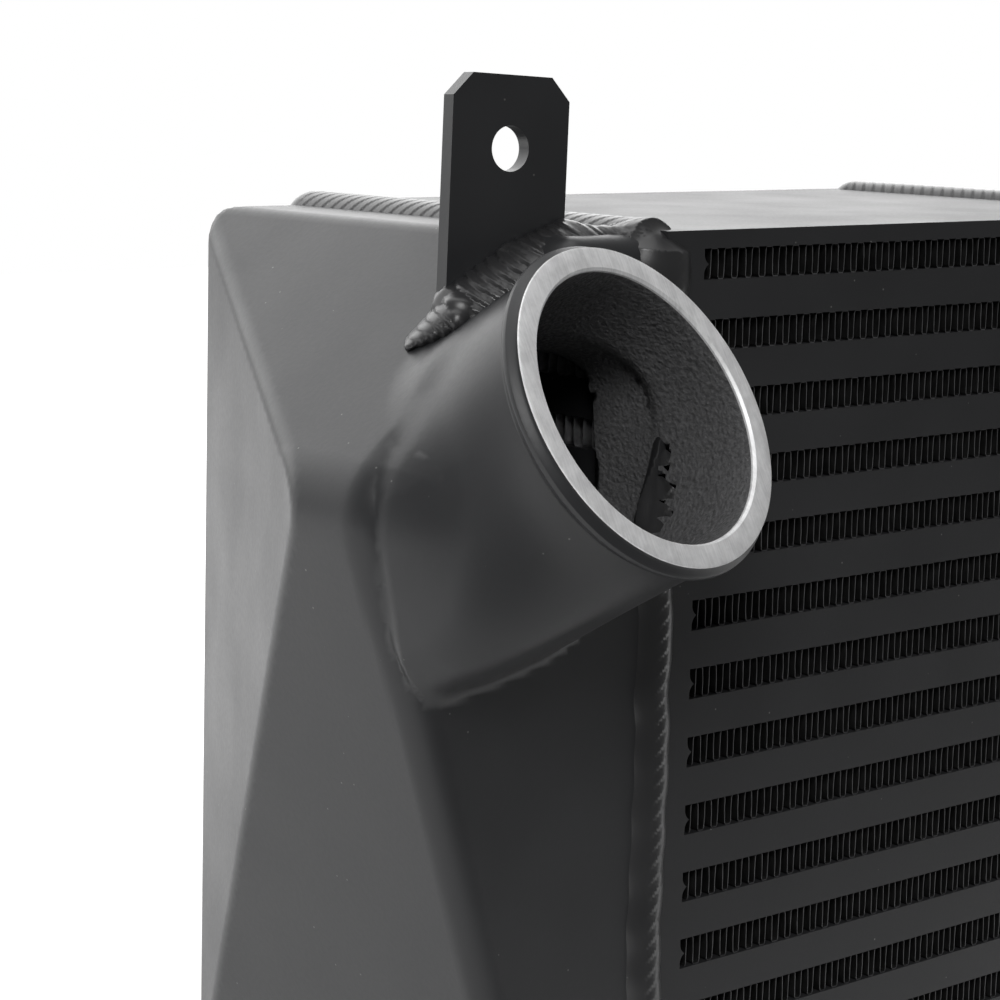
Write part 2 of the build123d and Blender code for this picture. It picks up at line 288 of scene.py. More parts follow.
def wedge(across, up, first, second, radius):
    """Signed distance to the corner between two half planes (normal x, normal y, offset)."""
    (ax, ay, ad), (bx, by, bd) = first, second
    det = ax * by - ay * bx
    ad, bd = ad - radius, bd - radius
    corner = ((ad * by - ay * bd) / det, (ax * bd - ad * bx) / det)
    a = ax * across + ay * up - ad
    b = bx * across + by * up - bd
    turn = 1.0 if det > 0 else -1.0
    along_a = (-ay * turn) * (across - corner[0]) + (ax * turn) * (up - corner[1])
    along_b = (by * turn) * (across - corner[0]) - (bx * turn) * (up - corner[1])
    at_corner = (along_a > 0) & (along_b > 0)
    reach = np.hypot(across - corner[0], up - corner[1])
    return np.where(at_corner, reach, np.maximum(a, b)) - radius


class TankForm:
    """Signed distances of the left tank, so one grid meshes its blends in one skin."""
    TUBE_START = 0.0035                      # the turned ring stands in front of it
    GROWTH = (0.006, 0.036)                  # depth where the neck's root starts to grow, and run
    OUTWARD, DOWNWARD = (0.022, 0.036), (0.010, 0.030)
    TAPER = 0.2                              # the outward growth is less lower down
    SETTLE = 0.010                           # behind the front face the neck is round again
    PLENUM_EDGES = (0.005, 0.012, 0.008, 0.004, 0.004)
    CEILING_EDGE, BORE_BLEND = 0.009, 0.006
    FILLET_RUN = 0.03
    FILLET_LOW, FILLET_HIGH = (0.105, 0.065), (0.165, 0.035)

    def __init__(self, core, tank, neck):
        self.tank, self.neck = tank, neck
        long, self.high, _ = core_plan(core)
        self.left, self.front, self.back = -long / 2, -core.depth / 2, core.depth / 2
        self.top = self.high - tank.step
        self.axis = neck_axis(neck)
        self.mouth = neck_mouth(core, neck)
        above = np.array([0.0, 0.0, 1.0]) - self.axis * self.axis[2]
        self.above_axis = above / np.linalg.norm(above)
        self.reach = 2 * neck.tube_radius - neck.overhang + neck.margin
        self.flank_angle = math.atan((self.reach - tank.back_reach) / (core.depth - tank.nose_run))
        nose_z = self.top - (self.reach - tank.top_land) * math.tan(tank.upper_slope)
        self.nose = (self.left - self.reach, nose_z)
        self.foot = self.left - tank.foot_land

    def side_planes(self):
        slope = self.tank.upper_slope
        upper = (-math.sin(slope), math.cos(slope))
        run = (self.foot - self.nose[0], -self.nose[1])
        size = math.hypot(*run)
        lower = (run[1] / size, -run[0] / size)
        return upper, lower

    def casting(self, p, inset, rim, nose, back, flank, front):
        """The tank's form, drawn in by a wall's thickness for its inside."""
        x, y, z = p
        tank = self.tank
        upper, lower = self.side_planes()
        top = (0.0, 1.0, self.top - inset)
        rim_at = (self.left - self.tank.top_land, self.top)
        above = (*upper, upper[0] * rim_at[0] + upper[1] * rim_at[1] - inset)
        below = (*lower, lower[0] * self.nose[0] + lower[1] * self.nose[1] - inset)

        def profile(x):
            return np.maximum(wedge(x, z, top, above, rim), wedge(x, z, above, below, nose))

        side = profile(x)
        facing = (profile(x + 0.0004) - profile(x - 0.0004)) / 0.0008
        side = np.maximum(side, inset - z)
        away = (-math.cos(self.flank_angle), math.sin(self.flank_angle))
        start = (self.left - self.tank.back_reach, self.back)
        plan = wedge(x, y, (0.0, 1.0, self.back - inset),
                     (*away, away[0] * start[0] + away[1] * start[1] - inset), back)
        steep = 1.0 - facing * away[0]
        form = overlap(side, plan, np.clip(flank * steep, 0.0004, None))
        outer = np.clip((self.left - tank.fillet_start - x) / self.FILLET_RUN, 0, 1)
        low = np.clip((z - self.FILLET_LOW[0]) / self.FILLET_LOW[1], 0, 1)
        high = eased((z - self.FILLET_HIGH[0]) / self.FILLET_HIGH[1])
        front = front + outer * tank.fillet_growth * (0.3 * low + 0.7 * high)
        return overlap(form, self.front + inset - y, front)

    def from_mouth(self, p):
        """Each point seen from the neck's mouth: its offset, and its depth along the axis."""
        q = [a - m for a, m in zip(p, self.mouth)]
        return q, -sum(a * n for a, n in zip(q, self.axis))

    def neck_distance(self, p, radius, start, end):
        """A round bar along the neck's axis between two depths behind the mouth."""
        q, depth = self.from_mouth(p)
        across = sum((a + depth * n) ** 2 for a, n in zip(q, self.axis))
        return np.maximum(np.sqrt(across) - radius, np.maximum(start - depth, depth - end))

    def neck_ray(self, p):
        """Direction square off the neck's axis towards each point."""
        q, depth = self.from_mouth(p)
        ray = [a + depth * n for a, n in zip(q, self.axis)]
        size = np.maximum(np.sqrt(sum(a * a for a in ray)), 1e-6)
        return [a / size for a in ray]

    def tube(self, p):
        """The neck: round at its mouth, shifted outwards with a lower outer corner at its root."""
        neck = self.neck
        outer = np.cross(self.axis, self.above_axis)
        q, depth = self.from_mouth(p)
        out = sum(a * n for a, n in zip(q, outer))
        down = -sum(a * n for a, n in zip(q, self.above_axis))
        grown = eased((depth - self.GROWTH[0]) / self.GROWTH[1])
        grown = grown * eased((self.front + self.SETTLE - p[1]) / self.SETTLE)
        lower = eased((down + self.OUTWARD[0]) / self.OUTWARD[1])
        beside = eased((out + self.DOWNWARD[0]) / self.DOWNWARD[1])
        out = out - grown * (neck.corner_out * lower
                             - self.TAPER * np.clip(down, 0, neck.tube_radius))
        down = down - neck.corner_drop * grown * beside
        radius = neck.tube_radius - (neck.tube_radius - neck.corner_radius) * grown
        flat = neck.tube_radius - radius
        corner = np.hypot(np.maximum(out - flat, 0), np.maximum(down - flat, 0)) - radius
        form = np.where((out > 0) & (down > 0), corner, np.hypot(out, down) - neck.tube_radius)
        end = neck.neck_length + neck.root_depth
        return np.maximum(form, np.maximum(self.TUBE_START - depth, depth - end))

    def outside(self, p):
        tank, neck = self.tank, self.neck

        def casting(p):
            return self.casting(p, 0.0, tank.rim_radius, tank.nose_radius, tank.back_radius,
                                tank.flank_radius, tank.front_radius)

        body = casting(p)
        tube = self.tube(p)
        ray = self.neck_ray(p)
        lean = sum((casting([c + (0.0005 if i == axis else 0.0) for i, c in enumerate(p)]) - body)
                   / 0.0005 * ray[axis] for axis in range(3))
        outer = -0.9 * ray[0] + 0.3 * sum(r * u for r, u in zip(ray, self.above_axis))
        sweep = neck.root_radius + (neck.root_sweep - neck.root_radius) * eased(
            (outer - 0.05) / 0.75)
        form = joined(body, tube, sweep * np.clip(1.0 - lean, 0.05, 1.0))
        past = np.minimum(p[0] - self.left, np.maximum(tube, p[1] - self.front))
        return np.maximum(form, past)

    def inside(self, p):
        tank, neck = self.tank, self.neck
        x, y, z = p
        plenum = self.casting(p, tank.wall, *self.PLENUM_EDGES)
        plenum = np.maximum(plenum, x - (self.left - tank.lip))
        plenum = overlap(plenum, z - (self.high - tank.window_top), self.CEILING_EDGE)
        half = self.back - tank.window_margin - tank.window_corner
        low, up = tank.wall + tank.window_corner, self.high - tank.window_top - tank.window_corner
        away_y = np.maximum(np.abs(y) - half, 0)
        away_z = np.maximum(np.abs(z - (low + up) / 2) - (up - low) / 2, 0)
        window = np.hypot(away_y, away_z) - tank.window_corner
        window = np.maximum(window, self.left - 2 * tank.lip - x)
        bore = self.neck_distance(p, neck.tube_radius - neck.tube_wall, -0.01,
                                  neck.neck_length + neck.bore_depth)
        blended = np.maximum(joined(plenum, bore, self.BORE_BLEND),
                             x - (self.left - tank.lip / 2))
        return np.minimum(blended, np.minimum(window, bore))

    def distance(self, p):
        return np.maximum(self.outside(p), -self.inside(p))


def slopes(distance, points, step=2e-5):
    """Outward directions of a signed distance at some points, and how steep it is."""
    p = points.T
    grad = np.empty_like(points)
    for axis in range(3):
        ahead, behind = p.copy(), p.copy()
        ahead[axis] += step
        behind[axis] -= step
        grad[:, axis] = (distance(ahead) - distance(behind)) / (2 * step)
    size = np.linalg.norm(grad, axis=1)
    return grad / np.maximum(size, 1e-6)[:, None], size


def skin(distance, low, high, cell):
    """Quad mesh of the surface where a signed distance is nought."""
    low, high = np.array(low), np.array(high)
    count = np.ceil((high - low) / cell).astype(int) + 1
    axes = [low[i] + cell * np.arange(count[i]) for i in range(3)]
    grid = np.meshgrid(*axes, indexing="ij")
    field = distance(grid)
    solid = field < 0
    cells = tuple(count - 1)
    total = np.zeros(cells + (3,))
    hits = np.zeros(cells)
    crossings = []
    for axis in range(3):
        near = [slice(None)] * 3
        far = [slice(None)] * 3
        near[axis] = slice(0, -1)
        far[axis] = slice(1, None)
        a, b = field[tuple(near)], field[tuple(far)]
        change = solid[tuple(near)] != solid[tuple(far)]
        at = np.argwhere(change)
        share = a[change] / (a[change] - b[change])
        place = at.astype(float)
        place[:, axis] += share
        u, v = (axis + 1) % 3, (axis + 2) % 3
        inner = (at[:, u] > 0) & (at[:, v] > 0)
        inner = inner & (at[:, u] < count[u] - 1) & (at[:, v] < count[v] - 1)
        at, place, lead = at[inner], place[inner], solid[tuple(near)][change][inner]
        around = []
        for du, dv in ((-1, -1), (0, -1), (0, 0), (-1, 0)):
            home = at.copy()
            home[:, u] += du
            home[:, v] += dv
            around.append(home)
            np.add.at(total, tuple(home.T), place)
            np.add.at(hits, tuple(home.T), 1)
        crossings.append((around, lead))
    used = hits > 0
    number = np.full(cells, -1)
    number[used] = np.arange(np.count_nonzero(used))
    points = low + cell * total[used] / hits[used][:, None]
    quads = []
    for around, lead in crossings:
        corners = np.stack([number[tuple(home.T)] for home in around], axis=1)
        corners[~lead] = corners[~lead][:, ::-1]
        quads.append(corners)
    quads = np.concatenate(quads)
    for _ in range(3):
        direction, size = slopes(distance, points)
        gap = distance(points.T)
        move = np.clip(gap / np.maximum(size, 0.5), -cell / 2, cell / 2)
        points = points - direction * move[:, None]
    direction, _ = slopes(distance, points)
    return points, quads, direction


# Materials

class Nodes:
    """Short hand for building a material's node tree."""

    def __init__(self, tree):
        self.tree = tree

    def add(self, kind, inputs=(), **values):
        node = self.tree.nodes.new(kind)
        for key, value in values.items():
            setattr(node, key, value)
        for key, value in dict(inputs).items():
            if isinstance(value, bpy.types.NodeSocket):
                self.tree.links.new(value, node.inputs[key])
            else:
                node.inputs[key].default_value = value
        return node

    def maths(self, operation, a, b=0.0):
        return self.add("ShaderNodeMath", {0: a, 1: b}, operation=operation).outputs[0]

    def remap(self, value, low, high, new_low, new_high):
        return self.add("ShaderNodeMapRange", {"Value": value, "From Min": low, "From Max": high,
                                               "To Min": new_low, "To Max": new_high}).outputs[0]

    def noise(self, place, scale, detail=2.0, roughness=0.5):
        return self.add("ShaderNodeTexNoise", {"Vector": place, "Scale": scale, "Detail": detail,
                                               "Roughness": roughness}).outputs[0]

    def shaded(self, colour_in, shade):
        """A colour, made lighter or darker by a grey."""
        grey = self.add("ShaderNodeCombineColor", {0: shade, 1: shade, 2: shade}).outputs[0]
        return self.add("ShaderNodeMix", {"Factor": 1.0, "A": colour_in, "B": grey},
                        data_type="RGBA", blend_type="MULTIPLY").outputs["Result"]


def group_tree(name, inputs):
    """A node group with these inputs, which gives a colour, a roughness and a height."""
    tree = bpy.data.node_groups.new(name, "ShaderNodeTree")
    for label, kind, default in inputs:
        made = tree.interface.new_socket(name=label, in_out="INPUT", socket_type=kind)
        made.default_value = default
    for label, kind in (("Color", "NodeSocketColor"), ("Roughness", "NodeSocketFloat"),
                        ("Height", "NodeSocketFloat")):
        tree.interface.new_socket(name=label, in_out="OUTPUT", socket_type=kind)
    return tree


def coat_group():
    """Powder coat: fine peel, slow patches of gloss and a few pale specks of dust."""
    tree = bpy.data.node_groups.get("Coat grain")
    if tree:
        return tree
    tree = group_tree("Coat grain", (("Color", "NodeSocketColor", (0.02, 0.02, 0.02, 1)),
                                     ("Roughness", "NodeSocketFloat", 0.4),
                                     ("Grain size", "NodeSocketFloat", 900.0),
                                     ("Specks", "NodeSocketFloat", 0.5)))
    n = Nodes(tree)
    given = n.add("NodeGroupInput").outputs
    place = n.add("ShaderNodeTexCoord").outputs["Object"]
    peel = n.noise(place, given["Grain size"], 3.0, 0.55)
    patches = n.noise(place, 38.0, 2.0)
    dust = n.add("ShaderNodeTexVoronoi", {"Vector": place, "Scale": 420.0, "Randomness": 1.0})
    spot = n.remap(dust.outputs["Distance"], 0.05, 0.11, 1.0, 0.0)
    chance = n.add("ShaderNodeSeparateColor", {0: dust.outputs["Color"]}).outputs[0]
    rare = n.maths("GREATER_THAN", chance, 0.93)
    speck = n.maths("MULTIPLY", n.maths("MULTIPLY", spot, rare), given["Specks"])
    shade = n.remap(patches, 0.3, 0.7, 0.9, 1.1)
    tone = n.shaded(given["Color"], shade)
    dusty = n.add("ShaderNodeMix", {"Factor": speck, "A": tone, "B": (0.22, 0.22, 0.21, 1)},
                  data_type="RGBA").outputs["Result"]
    gloss = n.maths("ADD", given["Roughness"], n.remap(patches, 0.3, 0.7, -0.03, 0.03))
    gloss = n.maths("ADD", gloss, n.remap(peel, 0.3, 0.7, -0.02, 0.02))
    n.add("NodeGroupOutput", {"Color": dusty, "Roughness": gloss, "Height": peel})
    return tree


def sand_group():
    """Sand-cast skin: packed grains with pits between them."""
    tree = bpy.data.node_groups.get("Sand-cast skin")
    if tree:
        return tree
    tree = group_tree("Sand-cast skin", (("Color", "NodeSocketColor", (0.02, 0.02, 0.02, 1)),
                                         ("Grains", "NodeSocketFloat", 1300.0)))
    n = Nodes(tree)
    given = n.add("NodeGroupInput").outputs
    place = n.add("ShaderNodeTexCoord").outputs["Object"]
    grains = n.add("ShaderNodeTexVoronoi", {"Vector": place, "Scale": given["Grains"],
                                            "Randomness": 1.0}, feature="SMOOTH_F1")
    lumps = n.noise(place, 950.0, 3.0, 0.6)
    height = n.maths("SUBTRACT", lumps, n.maths("MULTIPLY", grains.outputs["Distance"], 0.55))
    shade = n.remap(lumps, 0.3, 0.7, 0.7, 1.35)
    tone = n.shaded(given["Color"], shade)
    gloss = n.remap(lumps, 0.3, 0.7, 0.5, 0.34)
    n.add("NodeGroupOutput", {"Color": tone, "Roughness": gloss, "Height": height})
    return tree


def new_material(name):
    material = bpy.data.materials.new(name)
    material.use_nodes = True
    n = Nodes(material.node_tree)
    shader = next(node for node in material.node_tree.nodes if node.type == "BSDF_PRINCIPLED")
    return material, n, shader


def bump(n, shader, height, depth, strength=1.0):
    node = n.add("ShaderNodeBump", {"Height": height, "Strength": strength, "Distance": depth})
    n.tree.links.new(node.outputs[0], shader.inputs["Normal"])


def grouped(n, shader, tree, given):
    """Feed a shader's colour and roughness from a node group, and give the group's node."""
    group = n.add("ShaderNodeGroup", node_tree=tree)
    for label, value in given.items():
        group.inputs[label].default_value = value
    for label, into in (("Color", "Base Color"), ("Roughness", "Roughness")):
        n.tree.links.new(group.outputs[label], shader.inputs[into])
    return group


def coated(name, colour_value, roughness, grain=900.0, depth=0.00006, specks=0.5, specular=0.4,
           strength=0.35):
    """A material with the black powder coat."""
    found = bpy.data.materials.get(name)
    if found:
        return found
    material, n, shader = new_material(name)
    group = grouped(n, shader, coat_group(), {"Color": (*colour_value, 1), "Specks": specks,
                                              "Roughness": roughness, "Grain size": grain})
    shader.inputs["Specular IOR Level"].default_value = specular
    bump(n, shader, group.outputs["Height"], depth, strength)
    return material


def sand_cast(colour_value):
    found = bpy.data.materials.get("Coated sand casting")
    if found:
        return found
    material, n, shader = new_material("Coated sand casting")
    group = grouped(n, shader, sand_group(), {"Color": (*colour_value, 1)})
    bump(n, shader, group.outputs["Height"], 0.00042, 0.8)
    return material


def machined(colour_value):
    """Bare aluminium faced with a mill: fine slanting marks, small nicks and dull patches."""
    found = bpy.data.materials.get("Machined aluminium")
    if found:
        return found
    material, n, shader = new_material("Machined aluminium")
    place = n.add("ShaderNodeTexCoord").outputs["Object"]
    turned = n.add("ShaderNodeMapping", {"Vector": place, "Rotation": (0.3, 0.75, 0.2),
                                         "Scale": (2600.0, 160.0, 160.0)}).outputs[0]
    marks = n.noise(turned, 1.0, 3.0, 0.6)
    wear = n.noise(place, 260.0, 4.0, 0.6)
    shade = n.maths("ADD", n.remap(marks, 0.3, 0.7, -0.09, 0.09),
                    n.remap(wear, 0.35, 0.65, 0.86, 1.06))
    tone = n.shaded((*colour_value, 1), shade)
    n.tree.links.new(tone, shader.inputs["Base Color"])
    n.tree.links.new(n.remap(marks, 0.3, 0.7, 0.42, 0.56), shader.inputs["Roughness"])
    shader.inputs["Metallic"].default_value = 0.35
    bump(n, shader, marks, 0.00003, 0.5)
    return material


def plain_metal(name, colour_value, roughness, metallic):
    """Foil of a folded strip, with a slow change of tone along it."""
    found = bpy.data.materials.get(name)
    if found:
        return found
    material, n, shader = new_material(name)
    place = n.add("ShaderNodeTexCoord").outputs["Object"]
    patches = n.noise(place, 300.0, 3.0, 0.6)
    shade = n.remap(patches, 0.3, 0.7, 0.55, 1.45)
    tone = n.shaded((*colour_value, 1), shade)
    n.tree.links.new(tone, shader.inputs["Base Color"])
    n.tree.links.new(n.remap(patches, 0.3, 0.7, roughness - 0.08, roughness + 0.08),
                     shader.inputs["Roughness"])
    shader.inputs["Metallic"].default_value = metallic
    bump(n, shader, patches, 0.00005, 0.4)
    return material


def tank_coat(finish):
    return coated("Tank powder coat", finish.tank_coat, finish.tank_roughness)


def core_coat(finish):
    return coated("Core coat", finish.core_coat, finish.core_roughness, 1200.0, 0.00004, 0.8, 0.32)


def dress(node, material):
    """Gives a CAD node its finish."""
    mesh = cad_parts[node].data
    mesh.materials.clear()
    mesh.materials.append(material)


# Pieces

class INTERCOOLER_OT_plates(bpy.types.Operator):
    """Coat the side plates and the charge passages"""
    bl_idname = "intercooler.plates"
    bl_label = "Plates and passages"

    def execute(self, context):
        coat = core_coat(settings(context).finish)
        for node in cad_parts:
            if node.endswith("side_plate") or node.startswith("charge_passage"):
                dress(node, coat)
        return {"FINISHED"}


def strip_path(walls, pitch, height, foil, wobble, lean, seed):
    """Middle line of a folded strip: (across, up) points, with each wall bowed a little."""
    rng = np.random.default_rng(seed)
    low, top = foil / 2, height - foil / 2
    turn = min(0.28 * pitch, 0.0006)
    path = []
    for wall in range(walls):
        x = (wall - (walls - 1) / 2) * pitch
        x += rng.uniform(-wobble, wobble) + (lean if wall % 2 else -lean)
        bow = rng.uniform(-wobble, wobble) * 1.3
        sag = rng.uniform(0, wobble) * 0.7
        up = wall % 2 == 0
        start, end = (low, top) if up else (top, low)
        sign = 1 if up else -1
        path += [(x - 0.55 * turn, start + sign * sag * 0.2),
                 (x - 0.1 * turn, start + sign * turn * 0.8), (x + bow, (start + end) / 2),
                 (x + 0.1 * turn, end - sign * turn * 0.8),
                 (x + 0.55 * turn, end - sign * sag * 0.2)]
    return np.array(path)


def ribbon(path, foil):
    """Closed outline round a middle line, one foil thick."""
    ahead = np.vstack([path[1:], path[-1:] + (path[-1:] - path[-2:-1])])
    behind = np.vstack([path[:1] - (path[1:2] - path[:1]), path[:-1]])
    along = ahead - behind
    along /= np.linalg.norm(along, axis=1)[:, None]
    out = np.column_stack([-along[:, 1], along[:, 0]]) * foil / 2
    return path + out, path - out


def folded_strip(path, foil, stations, place):
    """Points and faces of a folded strip through a row of stations (distance, sideways shift)."""
    upper, lower = ribbon(path, foil)
    outline = np.vstack([upper, lower[::-1]])
    count = len(path)
    rows = []
    for distance, shift in stations:
        rows.append(place(outline, distance, shift))
    points = np.concatenate(rows)
    size = 2 * count
    i = np.arange(size)
    j = (i + 1) % size
    sides = np.concatenate([np.column_stack([r * size + i, r * size + j, (r + 1) * size + j,
                                             (r + 1) * size + i]) for r in range(len(rows) - 1)])
    k = np.arange(count - 1)
    cap = np.column_stack([k, size - 1 - k, size - 2 - k, k + 1])
    last = (len(rows) - 1) * size
    faces = np.concatenate([sides, cap, last + cap[:, ::-1]])
    edge = np.concatenate([np.zeros(len(sides), int), np.ones(2 * len(cap), int)])
    return points, faces, edge


def end_bar_outline(core):
    """Cross-section of the left end bar, with its rolled nose drawn to a smooth cusp."""
    left = -core.fin_length / 2 - core.end_bar
    root = -core.fin_length / 2
    middle, half = core.fin_height / 2, core.nose_base / 2
    points = [(left, 0.0), (root, 0.0)]
    steps = 9
    for i in range(1, steps):
        t = i / steps
        points.append((root + core.nose * t ** 2.2, middle - half + half * (1 - (1 - t) ** 1.15)))
    points.append((root + core.nose, middle))
    points += [(x, core.fin_height - z) for x, z in reversed(points[2:-1])]
    points += [(root, core.fin_height), (left, core.fin_height)]
    return np.array(points)


class INTERCOOLER_OT_fins(bpy.types.Operator):
    """Fold every cooling row's fin strip at its real pitch and set it between its end bars"""
    bl_idname = "intercooler.fins"
    bl_label = "Cooling fins"

    def execute(self, context):
        core, finish = settings(context).core, settings(context).finish
        coat = core_coat(finish)
        # The fin walls take that near-black colour, painted shade for the gaps between them.
        wall = plain_metal("Fin wall", finish.fin_wall_painted_shade, 0.5, 0.0)
        edge = plain_metal("Fin edge", finish.fin_edge, 0.45, 0.0)
        outline = end_bar_outline(core)
        deep = core.depth / 2
        for row in range(1, core.cooling_rows + 1):
            base = cooling_row_base(core, row)
            span = core.fin_length - 2 * core.nose
            walls = int(round(span / core.fin_pitch))
            path = strip_path(walls, span / walls, core.fin_height, core.fin_foil,
                              FIN_WOBBLE, FIN_LEAN, FIN_SEED + row)
            stations = []
            legs = 7
            for i in range(legs + 1):
                y = -deep + core.fin_recess + (2 * deep - 2 * core.fin_recess) * i / legs
                swing = 0.5 if i % 2 else -0.5
                stations.append((y, core.fin_wander * swing if 0 < i < legs else 0.0))

            def place(shape, y, shift, base=base, span=span):
                x = np.clip(shape[:, 0] + shift, -span / 2 + 0.0001, span / 2 - 0.0001)
                return np.column_stack([x, np.full(len(shape), y), shape[:, 1] + base])

            points, faces, cut = folded_strip(path, core.fin_foil, stations, place)
            all_points, all_faces, kinds = [points], [faces], [np.where(cut == 1, 2, 1)]
            start = len(points)
            rest = []
            for side in (1.0, -1.0):
                count = len(outline)
                bar = np.concatenate([
                    np.column_stack([outline[:, 0], np.full(count, y), outline[:, 1] + base])
                    for y in (-deep, deep)])
                loops = [(i, (i + 1) % count, count + (i + 1) % count, count + i)
                         for i in range(count)]
                ends = [tuple(reversed(range(count))), tuple(range(count, 2 * count))]
                bar, made = mirrored(bar, [tuple(reversed(f)) for f in loops + ends], side)
                all_points.append(bar)
                rest += [tuple(start + i for i in face) for face in made]
                start += len(bar)
            every = [tuple(face) for face in faces.tolist()] + rest
            kinds = np.concatenate(kinds + [np.zeros(len(rest), int)])
            new_piece(f"fine_fin_row_{row:02d}", np.concatenate(all_points), every,
                      [coat, wall, edge], [f"cooling_fin_row_{row:02d}"], kinds,
                      smooth=False)
        return {"FINISHED"}


class INTERCOOLER_OT_turbulators(bpy.types.Operator):
    """Fold the strips inside the charge passages at their real pitch"""
    bl_idname = "intercooler.turbulators"
    bl_label = "Turbulators"

    def execute(self, context):
        core, finish = settings(context).core, settings(context).finish
        foil = plain_metal("Turbulator foil", (0.42, 0.42, 0.43), 0.45, 0.6)
        long, _, pitch = core_plan(core)
        span = core.depth - 2 * core.bar_width - 0.0005
        walls = int(round(span / core.turbulator_pitch))
        half = long / 2 - core.turbulator_recess
        for row in range(1, core.cooling_rows):
            base = cooling_row_base(core, row) - core.bar_height - core.sheet
            path = strip_path(walls, span / walls, core.bar_height, TURBULATOR_FOIL,
                              TURBULATOR_WOBBLE, 0.0, TURBULATOR_SEED + row)
            stations = [(-half + 2 * half * i / 4, (0.0, 0.0005, -0.0005, 0.0005, 0.0)[i])
                        for i in range(5)]

            def place(shape, x, shift, base=base):
                y = np.clip(shape[:, 0] + shift, -span / 2, span / 2)
                return np.column_stack([np.full(len(shape), x), y, shape[:, 1] + base])

            points, faces, _ = folded_strip(path, TURBULATOR_FOIL, stations, place)
            new_piece(f"fine_turbulator_{row:02d}", points, faces[:, ::-1], [foil],
                      [f"turbulator_{row:02d}"], smooth=False)
        return {"FINISHED"}


class INTERCOOLER_OT_tanks(bpy.types.Operator):
    """Mesh the cast end tanks with their blended hose necks and hollow insides"""
    bl_idname = "intercooler.tanks"
    bl_label = "Cast end tanks"

    def execute(self, context):
        given = settings(context)
        form = TankForm(given.core, given.tank, given.neck)
        low = (form.left - form.reach - 0.004, form.mouth[1] - 0.022, -0.004)
        high = (form.left + 0.012, form.back + 0.004, form.high + 0.006)
        points, faces, normals = skin(form.distance, low, high, given.tank.cell)
        middle = points[faces].mean(axis=1).T
        within = np.abs(form.inside(middle)) < np.abs(form.outside(middle))
        materials = [tank_coat(given.finish), sand_cast(given.finish.cast_black)]
        for name, side in SIDES:
            made, quads = mirrored(points, faces, side)
            turned = normals * np.array([side, 1.0, 1.0])
            new_piece(f"{name}_tank_casting", made, quads, materials,
                      [f"{name}_end_tank"], within.astype(int), turned)
        return {"FINISHED"}


def turn_about(outline, origin, axis, segments):
    """Points and faces of an open outline of (depth, radius) turned about the neck's axis."""
    u = np.cross(axis, (1.0, 0.0, 0.0))
    u /= np.linalg.norm(u)
    v = np.cross(axis, u)
    points = []
    for i in range(segments):
        a = 2 * math.pi * i / segments
        ray = u * math.cos(a) + v * math.sin(a)
        points += [origin - axis * depth + ray * radius for depth, radius in outline]
    count = len(outline)
    faces, kinds = [], []
    for i in range(segments):
        j = (i + 1) % segments
        for k in range(count - 1):
            faces.append((i * count + k, i * count + k + 1, j * count + k + 1, j * count + k))
            kinds.append(k)
    return np.array(points), faces, kinds


class INTERCOOLER_OT_mouths(bpy.types.Operator):
    """Turn the machined ring and the hose bead at each neck's mouth"""
    bl_idname = "intercooler.mouths"
    bl_label = "Hose mouths"

    def execute(self, context):
        given = settings(context)
        core, neck, finish = given.core, given.neck, given.finish
        bore = neck.tube_radius - neck.tube_wall
        tube, edge, bead = neck.tube_radius, neck.face_edge, neck.tube_radius + neck.bead_rise
        outline = [(0.0072, bore - 0.00002), (0.0045, bore - 0.00002), (0.0009, bore),
                   (0.0005, bore + 0.0001), (0.0, bore + 0.0006), (0.0, bore + 0.0022),
                   (0.0, edge - 0.0004), (0.00012, edge - 0.0001), (0.0004, edge),
                   (0.0009, edge - 0.0001), (0.0013, edge + 0.0001), (0.0018, bead - 0.0005),
                   (0.0023, bead - 0.0001), (0.0029, bead), (0.0035, bead - 0.0002),
                   (0.0042, bead - 0.0009), (0.0049, bead - 0.0017), (0.0055, tube + 0.0001),
                   (0.0061, tube - 0.00005), (0.0072, tube - 0.0002), (0.0074, tube - 0.002),
                   (0.0074, bore + 0.001)]
        kinds_of = [2, 2, 1, 1, 1, 1, 1, 1] + [0] * 11 + [0, 0]
        materials = [tank_coat(finish), machined(finish.bare_metal), sand_cast(finish.cast_black)]
        points, faces, spans = turn_about(outline, neck_mouth(core, neck), neck_axis(neck), 180)
        kinds = [kinds_of[k] for k in spans]
        for name, side in SIDES:
            made, quads = mirrored(points, faces, side)
            piece = new_piece(f"{name}_hose_mouth", made, quads, materials,
                              (), kinds)
            piece.data.set_sharp_from_angle(angle=math.radians(28))
        return {"FINISHED"}


class INTERCOOLER_OT_tabs(bpy.types.Operator):
    """Coat the mounting tabs and ease their edges"""
    bl_idname = "intercooler.tabs"
    bl_label = "Mounting tabs"

    def execute(self, context):
        given = settings(context)
        coat = coated("Tab coat", given.finish.tank_coat, 0.36, 1100.0, 0.00004, 0.4, 0.42)
        for name, _ in SIDES:
            node = f"{name}_mounting_tab"
            dress(node, coat)
            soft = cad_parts[node].modifiers.new("Eased edges", "BEVEL")
            soft.width = given.tab.edge_radius
            soft.segments = 3
            soft.limit_method = "ANGLE"
            soft.angle_limit = math.radians(35)
            soft.harden_normals = True
        return {"FINISHED"}


